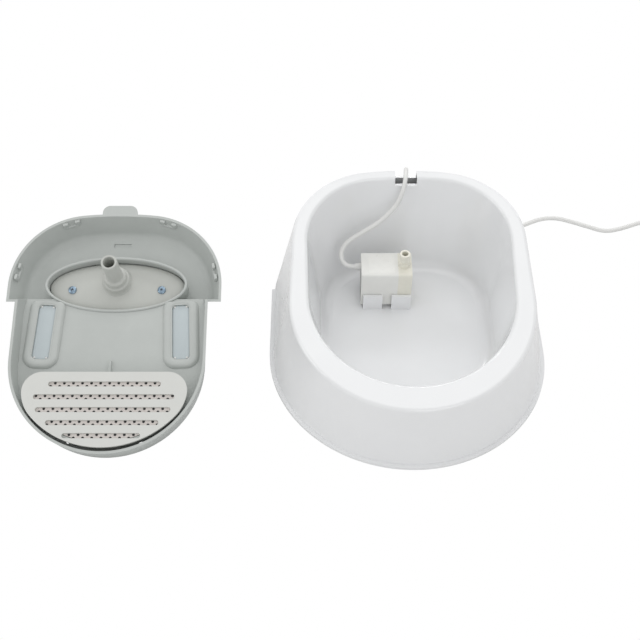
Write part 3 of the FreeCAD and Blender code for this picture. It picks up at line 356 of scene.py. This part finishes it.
class FountainFinishes(bpy.types.Operator):
    """Give every moulding its finish"""

    bl_idname = "fountain.finishes"
    bl_label = "Finishes"

    def execute(self, context):
        tone = colours()
        gloss = {"Coat Weight": 0.9, "Coat Roughness": 0.04}
        finishes = {
            "gloss_white": moulded("gloss_white", tone.bowl, 0.16, 0.01, 40, 0.9, 0.003, 0.04, gloss),
            "cover_satin": moulded("cover_satin", tone.cover, 0.42, 0.025, 22, 0.3, 0.012),
            "riser_satin": moulded("riser_satin", tone.riser, 0.36, 0.02, 16, 0.3, 0.01),
            "frosted_window": moulded("frosted_window", tone.window, 0.35, 0.015, 9, 0.6, 0.004, 0.06,
                                      {"Transmission Weight": 0.1, "IOR": 1.58}),
            "plate_satin": moulded("plate_satin", tone.filter_plate, 0.4, 0.012, 20, 0.3, 0.01),
            "screen_and_hole_shade": perforated("screen_and_hole_shade", tone.screen, 1.1, 7.3, 2.675, 39.3),
            "pump_satin": moulded("pump_satin", tone.pump, 0.45, 0.02, 12, 0.25, 0.015),
            "yellowed_satin": moulded("yellowed_satin", tone.impeller_cover, 0.42, 0.03, 8, 0.25, 0.015),
            "blank_film": moulded("blank_film", shade(tone.pump, 1.03), 0.3, 0.02, 5, 0.4, 0.01),
            "lead_vinyl": moulded("lead_vinyl", tone.lead, 0.38, 0.015, 8, 0.3, 0.015),
            "tie_vinyl": moulded("tie_vinyl", shade(tone.lead, 0.92), 0.45, 0.03, 4, 0.3, 0.02),
            # Black rubber for the gasket and seal; the same finish paints the shade in the screw-head crosses.
            "black_rubber_and_recess_shade": moulded("black_rubber_and_recess_shade", linear("#2C2C2E"), 0.7, 0.1, 5, 0.2, 0.02),
            "clear_silicone": moulded("clear_silicone", linear("#C4C7C6"), 0.35, 0.04, 5, 0.3, 0.01, 0.05,
                                      {"Transmission Weight": 0.35, "IOR": 1.41}),
            "zinc_blue": moulded("zinc_blue", linear("#8FA3B4"), 0.3, 0.12, 2, 0.1, 0.01, 0.15,
                                 {"Metallic": 1.0}),
            "nickel": moulded("nickel", linear("#C9C6BC"), 0.25, 0.05, 3, 0.1, 0.005, 0.1, {"Metallic": 1.0}),
            "ceramic": moulded("ceramic", linear("#F0F0EC"), 0.12, 0.01, 3, 0.2, 0.003),
            "ferrite": moulded("ferrite", linear("#2A2A2C"), 0.55, 0.15, 2, 0.15, 0.03),
            "acetal": moulded("acetal", linear("#E6E8E9"), 0.35, 0.01, 5, 0.3, 0.008),
            "epoxy": moulded("epoxy", linear("#A9AAA6"), 0.3, 0.06, 4, 1.2, 0.03),
            "laminations": banded("laminations", linear("#8E8E90"), linear("#4A4A4C"), 0.5, "X", 0.45, 0.9),
            "copper_wire": banded("copper_wire", linear("#B4713C"), linear("#5E2F14"), 0.35, "X", 0.35, 0.6),
            "carbon_foam": pored("carbon_foam", linear("#4E4E50"), linear("#161617"), 1.1, 0.5),
        }
        carried = {
            "bowl": "gloss_white", "pump_cradle": "gloss_white", "top_cover": "cover_satin",
            "window_left": "frosted_window", "window_right": "frosted_window", "riser_plate": "riser_satin", "riser_collar": "riser_satin",
            "riser_gasket": "black_rubber_and_recess_shade", "riser_screws": "zinc_blue", "filter_plate": "plate_satin",
            "filter_screen": "screen_and_hole_shade", "filter_pad": "carbon_foam", "pump_housing": "pump_satin",
            "pump_end_cap": "epoxy", "cord_gland": "lead_vinyl", "blank_label": "blank_film",
            "chamber_cover": "yellowed_satin", "rotor_shaft": "ceramic", "rotor_magnet": "ferrite",
            "impeller": "acetal", "cover_seal": "black_rubber_and_recess_shade", "suction_feet": "clear_silicone",
            "stator_core": "laminations", "stator_coil": "copper_wire", "coil_tie": "tie_vinyl",
            "plug_relief": "lead_vinyl", "plug_body": "lead_vinyl", "plug_pins": "nickel",
        }
        for name, finish in carried.items():
            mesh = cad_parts[name].data
            mesh.materials.clear()
            mesh.materials.append(finishes[finish])
        return {"FINISHED"}


def finish(name):
    return bpy.data.materials[name]


class FountainLead(bpy.types.Operator):
    """Lay the lead from the pump over the rear notch to its coil and plug"""

    bl_idname = "fountain.lead"
    bl_label = "Lead"

    def execute(self, context):
        points = [Vector(point) for point in LEAD_ROUTE]
        inner_turns = INNER_TURNS * COIL_STEPS
        climb = round(CLIMB_TURNS * COIL_STEPS)
        outer_turns = round(OUTER_TURNS * COIL_STEPS)
        total = inner_turns + climb + outer_turns
        for step in range(total + 1):
            angle = COIL_START - 2 * math.pi * step / COIL_STEPS
            if step <= inner_turns:
                radius = COIL_OUTER + (COIL_INNER - COIL_OUTER) * step / inner_turns
                level = COIL_LOWER
            elif step <= inner_turns + climb:
                radius = COIL_INNER
                level = COIL_LOWER + COIL_CLIMB * (step - inner_turns) / climb
            else:
                share = (step - inner_turns - climb) / outer_turns
                radius = COIL_INNER + (COIL_OUTER - COIL_INNER) * share
                level = COIL_LOWER + COIL_CLIMB
            points.append(COIL_MIDDLE + Vector((radius * math.cos(angle), radius * math.sin(angle), level)))
        points += [Vector(point) for point in LEAD_TAIL]
        curve = bpy.data.curves.new("power_cord", "CURVE")
        curve.dimensions = "3D"
        curve.bevel_depth = sizes().lead_thickness / 2
        curve.bevel_resolution = 5
        curve.resolution_u = 6
        curve.use_fill_caps = True
        spline = curve.splines.new("NURBS")
        spline.points.add(len(points) - 1)
        for control, point in zip(spline.points, points):
            control.co = (*(point * MM), 1)
        spline.order_u = 3
        spline.use_endpoint_u = True
        cord = bpy.data.objects.new("power_cord", curve)
        bpy.context.collection.objects.link(cord)
        curve.materials.append(finish("lead_vinyl"))
        settle(cord, "bowl", "cord", "power_lead", "lead_coil", "plug_lead")
        return {"FINISHED"}


class FountainRiser(bpy.types.Operator):
    """Build the domed riser plate with its stepped collar and tube, and the bead round its seat"""

    bl_idname = "fountain.riser"
    bl_label = "Riser"

    def execute(self, context):
        count = 96
        dome = sizes().dome_height / MM
        bm = bmesh.new()
        plate = [(57.5, 22.5, 14.4), (57.5, 22.5, 12.4), (57.2, 22.2, 11.8), (56.4, 21.4, 11.4)]
        for share in (0.93, 0.85, 0.75, 0.62, 0.48, 0.34, 0.2):
            plate.append((57.5 * share, 22.5 * share, 11.4 - dome * (1 - share ** 2)))
        skin(bm, count, [oval_at(LYING, count, width, depth, 54.5 + (1 - width / 57.5) * 4, level)
                         for width, depth, level in plate], cap_first=True, cap_last=True)
        profile = [(13.2, 9.4), (11.9, 8.0), (11.4, 6.6), (11.4, 2.4), (11.0, 1.8), (10.0, 1.4), (9.6, 0.8),
                   (9.5, -3.6), (9.2, -4.2), (8.2, -4.6), (7.2, -5.2), (6.75, -6.4), (6.75, -31.6), (6.5, -32.2),
                   (6.1, -32.5), (5.2, -32.5), (4.85, -32.3), (4.7, -31.8), (4.7, 8.0)]
        around = 40
        skin(bm, around, [oval_at(LYING, around, radius, radius, 58.5, level) for radius, level in profile],
             cap_last=True)
        piece("riser_domed", bm, finish("riser_satin"), "cover", "riser", "riser_plate", "riser_collar", sharp=50)
        bm = bmesh.new()
        bead = sizes().bead_round / MM
        arc = [(math.cos(math.radians(angle)), math.sin(math.radians(angle))) for angle in range(0, 181, 30)]
        sections = [oval_at(LYING, count, 59.2 + bead * out, 24.2 + bead * out, 54.5, 4.75 - bead * up)
                    for out, up in arc]
        skin(bm, count, sections)
        piece("seat_bead", bm, finish("cover_satin"), "cover", "cover")
        return {"FINISHED"}


class FountainWindows(bpy.types.Operator):
    """Build the two frosted windows with their rounded surrounds and stakes"""

    bl_idname = "fountain.windows"
    bl_label = "Windows"

    def execute(self, context):
        count = 64
        half_width = sizes().window_half_width / MM
        half_length = sizes().window_half_length / MM
        surround = [(15.2, 32.0, 11, 0.3), (15.0, 31.8, 10.9, -0.5), (14.3, 31.1, 10.2, -1.5),
                    (13.4, 30.2, 9.4, -2.4), (12.2, 29.0, 8.4, -2.85), (9.4, 26.4, 6.2, -2.85),
                    (8.3, 25.3, 5.4, -2.5), (7.7, 24.7, 5.0, -1.9), (7.3, 24.3, 4.8, -1.0), (7.3, 24.3, 4.8, 0.4)]
        pane = [(half_width, half_length, 4.7, 1.0), (half_width, half_length, 4.7, -0.5),
                (half_width - 0.3, half_length - 0.3, 4.5, -0.85),
                (half_width - 1.2, half_length - 1.2, 3.8, -1.05)]
        for side, word in ((-1, "left"), (1, "right")):
            place = (LYING @ Matrix.Translation(Vector((side * 57, 11, 5)) * MM)
                     @ Matrix.Rotation(side * math.radians(3), 4, "Z"))
            bm = bmesh.new()
            skin(bm, count, [rounded_at(place, count, *row, rear_stop=27.2) for row in surround])
            piece("window_surround_" + word, bm, finish("cover_satin"), "cover", "cover")
            bm = bmesh.new()
            skin(bm, count, [rounded_at(place, count, *row) for row in pane], cap_first=True, cap_last=True)
            piece("window_pane_" + word, bm, finish("frosted_window"), "cover", "window", "window_" + word)
            bm = bmesh.new()
            for x in (-4.9, 4.9):
                for y in (-22.6, 22.6):
                    spot = place @ Matrix.Translation(Vector((x, y, -1.0)) * MM)
                    bmesh.ops.create_uvsphere(bm, u_segments=12, v_segments=8, radius=0.9 * MM,
                                              matrix=spot @ Matrix.Diagonal((1, 1, 0.5, 1)))
            piece("window_stakes_" + word, bm, finish("tie_vinyl"), "cover", "window")
        return {"FINISHED"}


class FountainTrim(bpy.types.Operator):
    """Build the catches inside the hood's rim and the cross-head screws of the riser plate"""

    bl_idname = "fountain.trim"
    bl_label = "Catches and screws"

    def execute(self, context):
        bm = bmesh.new()
        for side in (-1, 1):
            for degrees in (12, 73):
                angle = math.radians(degrees if side > 0 else 180 - degrees)
                spot = (LYING @ Matrix.Translation(Vector((side * 24, 52, 0)) * MM)
                        @ Matrix.Rotation(angle, 4, "Z"))
                for along in (-5.2, 5.2):
                    block(bm, spot @ Matrix.Translation(Vector((60.8, along, 2.4)) * MM), (2.6, 4.6, 7.2), 0.6)
                block(bm, spot @ Matrix.Translation(Vector((60.4, 0, 4.8)) * MM), (2.4, 12, 2.8), 0.6)
        piece("hood_catches", bm, finish("cover_satin"), "cover", "cover")
        heads = [(3.3, 11.6), (3.5, 9.6), (3.4, 9.0), (2.8, 8.5), (1.8, 8.25)]
        bm = bmesh.new()
        for side in (-38, 38):
            spot = LYING @ Matrix.Translation(Vector((side, 0, 0)) * MM)
            skin(bm, 32, [oval_at(spot, 32, radius, radius, 51.5, level) for radius, level in heads],
                 cap_first=True, cap_last=True)
        piece("cross_head_screws", bm, finish("zinc_blue"), "cover", "screw", "riser_screws")
        # Screw crosses: thin near-black pieces on the heads, painted shade standing for the cross recesses.
        bm = bmesh.new()
        for side in (-38, 38):
            for turned in (math.radians(20), math.radians(110)):
                spot = (LYING @ Matrix.Translation(Vector((side, 51.5, 8.5)) * MM)
                        @ Matrix.Rotation(turned, 4, "Z"))
                block(bm, spot, (3.4, 0.8, 0.7), 0.15, 1)
        piece("screw_recess_shade", bm, finish("black_rubber_and_recess_shade"), "cover", "screw")
        return {"FINISHED"}


class FountainFilter(bpy.types.Operator):
    """Build the perforated sheet and the foam pad of the filter"""

    bl_idname = "fountain.filter"
    bl_label = "Filter"

    def execute(self, context):
        low = SHEET_LOW
        sheet = [(-0.4, low), (0, low + 0.1), (0, low + 0.9), (-0.4, low + 1)]
        bm = bmesh.new()
        skin(bm, SHIELD_COUNT, [shield_at(LYING, *row) for row in sheet], cap_first=True, cap_last=True)
        piece("screen_sheet", bm, finish("screen_and_hole_shade"), "filter", "filter_screen", "filter_screen")
        low += SHEET_THICK
        foam = [(-3, low), (-0.8, low + 0.05), (-0.2, low + 0.5), (0, low + 1.6), (0, low + 7.2),
                (-0.4, low + 8.3), (-1.4, low + 8.9), (-4, low + 9)]
        bm = bmesh.new()
        skin(bm, SHIELD_COUNT, [shield_at(LYING, *row) for row in foam], cap_first=True, cap_last=True)
        pad = piece("foam_pad", bm, finish("carbon_foam"), "filter", "filter_pad", "filter_pad")
        return {"FINISHED"}


class FountainStage(bpy.types.Operator):
    """Set the floor, the light and the camera"""

    bl_idname = "fountain.stage"
    bl_label = "Stage"

    def execute(self, context):
        scene = bpy.context.scene
        bm = bmesh.new()
        bmesh.ops.create_grid(bm, x_segments=1, y_segments=1, size=6)
        mesh = bpy.data.meshes.new("floor")
        bm.to_mesh(mesh)
        bm.free()
        floor = bpy.data.objects.new("floor", mesh)
        bpy.context.collection.objects.link(floor)
        floor.location.z = -0.0004
        material = bpy.data.materials.new("floor_white")
        material.use_nodes = True
        tree = material.node_tree
        tree.nodes.clear()
        paper = add(tree, "ShaderNodeBsdfDiffuse", Color=(0.8, 0.8, 0.8, 1))
        glow = add(tree, "ShaderNodeEmission", Color=(1, 1, 1, 1), Strength=1.0)
        seen = add(tree, "ShaderNodeLightPath").outputs["Is Camera Ray"]
        both = add(tree, "ShaderNodeMixShader", Fac=seen)
        tree.links.new(paper.outputs[0], both.inputs[1])
        tree.links.new(glow.outputs[0], both.inputs[2])
        output = add(tree, "ShaderNodeOutputMaterial")
        tree.links.new(both.outputs[0], output.inputs["Surface"])
        mesh.materials.append(material)

        def soft_box(name, place, aim, size, power):
            light = bpy.data.lights.new(name, "AREA")
            light.shape = "RECTANGLE"
            light.size, light.size_y = size
            light.energy = power
            lamp = bpy.data.objects.new(name, light)
            bpy.context.collection.objects.link(lamp)
            lamp.location = place
            lamp.rotation_euler = (Vector(aim) - Vector(place)).to_track_quat("-Z", "Y").to_euler()

        soft_box("top_box", (-0.1, 0.25, 1.5), (-0.08, 0.0, 0), (1.6, 1.2), 4.0)
        soft_box("front_box", (0.5, -1.4, 0.9), (-0.05, 0, 0.04), (0.9, 0.9), 2.5)
        soft_box("rear_strip", (0.15, 1.0, 0.8), (0.03, 0, 0.08), (1.3, 0.16), 3.5)
        soft_box("left_box", (-1.5, -0.3, 0.8), (-0.05, 0, 0.04), (0.8, 1.0), 3)

        world = bpy.data.worlds.new("white_room")
        scene.world = world
        world.use_nodes = True
        tree = world.node_tree
        tree.nodes.clear()
        seen = add(tree, "ShaderNodeLightPath").outputs["Is Camera Ray"]
        strength = add(tree, "ShaderNodeMapRange", Value=seen, To_Min=0.68, To_Max=1.0)
        sky = add(tree, "ShaderNodeBackground", Color=(1, 1, 1, 1), Strength=strength.outputs[0])
        output = add(tree, "ShaderNodeOutputWorld")
        tree.links.new(sky.outputs[0], output.inputs["Surface"])

        lens = bpy.data.cameras.new("photo_camera")
        lens.lens = 59.85
        lens.sensor_width = 36
        camera = bpy.data.objects.new("photo_camera", lens)
        bpy.context.collection.objects.link(camera)
        camera.location = (-0.075, -0.5862, 0.7277)
        camera.rotation_euler = (math.radians(40), 0, 0)
        scene.camera = camera
        scene.view_settings.view_transform = "Standard"
        return {"FINISHED"}


class FountainPanel(bpy.types.Panel):
    """Sidebar with the fountain's sizes, colours and building steps"""

    bl_idname = "VIEW3D_PT_fountain"
    bl_label = "Pet water fountain"
    bl_space_type = "VIEW_3D"
    bl_region_type = "UI"
    bl_category = "Fountain"

    def draw(self, context):
        for group in (context.scene.fountain_sizes, context.scene.fountain_colours):
            for name in group.bl_rna.properties.keys():
                if name not in ("rna_type", "name"):
                    self.layout.prop(group, name)
        for step in STEPS:
            self.layout.operator(step.bl_idname)


STEPS = (FountainFinishes, FountainLead, FountainRiser, FountainWindows, FountainTrim,
         FountainFilter, FountainStage)
GROUPS = (FountainSizes, FountainColours)


def register():
    for group in GROUPS + STEPS + (FountainPanel,):
        bpy.utils.register_class(group)
    bpy.types.Scene.fountain_sizes = bpy.props.PointerProperty(type=FountainSizes)
    bpy.types.Scene.fountain_colours = bpy.props.PointerProperty(type=FountainColours)


def unregister():
    del bpy.types.Scene.fountain_sizes
    del bpy.types.Scene.fountain_colours
    for group in (FountainPanel,) + STEPS[::-1] + GROUPS[::-1]:
        bpy.utils.unregister_class(group)


def main():
    register()
    for step in STEPS:
        family, name = step.bl_idname.split(".")
        getattr(getattr(bpy.ops, family), name)()


if __name__ == "__main__":
    main()
